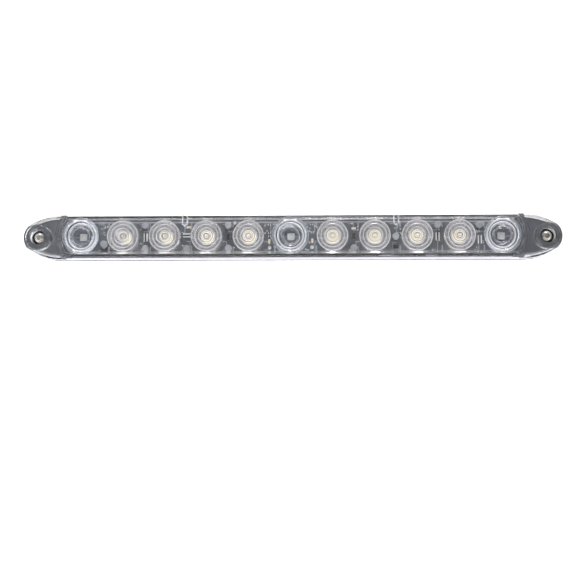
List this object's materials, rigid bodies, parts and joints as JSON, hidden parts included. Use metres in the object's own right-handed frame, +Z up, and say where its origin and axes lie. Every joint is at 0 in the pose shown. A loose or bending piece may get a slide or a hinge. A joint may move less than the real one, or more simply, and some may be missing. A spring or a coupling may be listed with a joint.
{
  "type": "third brake light",
  "caption": "Slim clear light bar with rounded ears, bullseye and ring-grooved emitters behind one lens, screwed flat to a wall.",
  "frame": {"origin": "centre of the foam gasket's back face, where the lamp meets the wall", "axes": "+X along the bar, +Y into the wall, +Z up; the lens faces -Y"},
  "size_m": [0.432, 0.0346, 0.0372],
  "materials": {
    "black_abs": "fine moulded texture",
    "clear_lens": "polished clear polycarbonate",
    "silicone": "satin",
    "foam": "closed-cell foam",
    "grommet_rubber": "matte moulded rubber",
    "board": "dark solder mask with fine traces",
    "nylon": "natural nylon",
    "clear_optic": "clear acrylic with moulded rings",
    "led_package": "white moulded",
    "red_die": "encapsulated die, unlit: pale until it glows red",
    "phosphor": "silicone with phosphor, unlit",
    "resistor_black": "overglazed ceramic with tinned ends",
    "capacitor_tan": "ceramic with tinned ends",
    "chip_black": "moulded epoxy with tinned legs",
    "solder": "tin solder",
    "clip_clear": "clear polycarbonate",
    "nickel": "nickel plate"
  },
  "bodies": {
    "root": {"base_housing": "black_abs", "outer_lens": "clear_lens", "perimeter_seal": "silicone", "foam_gasket": "foam", "wire_grommet": "grommet_rubber", "circuit_board": "board", "board_posts": "nylon", "bullseye_optic_left": "clear_optic", "bullseye_optic_centre": "clear_optic", "bullseye_optic_right": "clear_optic", "fresnel_optic_1": "clear_optic", "fresnel_optic_2": "clear_optic", "fresnel_optic_3": "clear_optic", "fresnel_optic_4": "clear_optic", "fresnel_optic_5": "clear_optic", "fresnel_optic_6": "clear_optic", "fresnel_optic_7": "clear_optic", "fresnel_optic_8": "clear_optic", "red_led_left": "led_package", "red_led_centre": "led_package", "red_led_right": "led_package", "white_led_1": "led_package", "white_led_2": "led_package", "white_led_3": "led_package", "white_led_4": "led_package", "white_led_5": "led_package", "white_led_6": "led_package", "white_led_7": "led_package", "white_led_8": "led_package", "red_led_dies": "red_die", "white_led_phosphors": "phosphor", "wide_resistors": "resistor_black", "chip_resistors": "resistor_black", "capacitors": "capacitor_tan", "diodes": "chip_black", "regulators": "chip_black", "lead_solder_joints": "solder", "lens_clip_left": "clip_clear", "lens_clip_right": "clip_clear", "mounting_screw_left": "nickel", "mounting_screw_right": "nickel"}
  },
  "joints": []
}
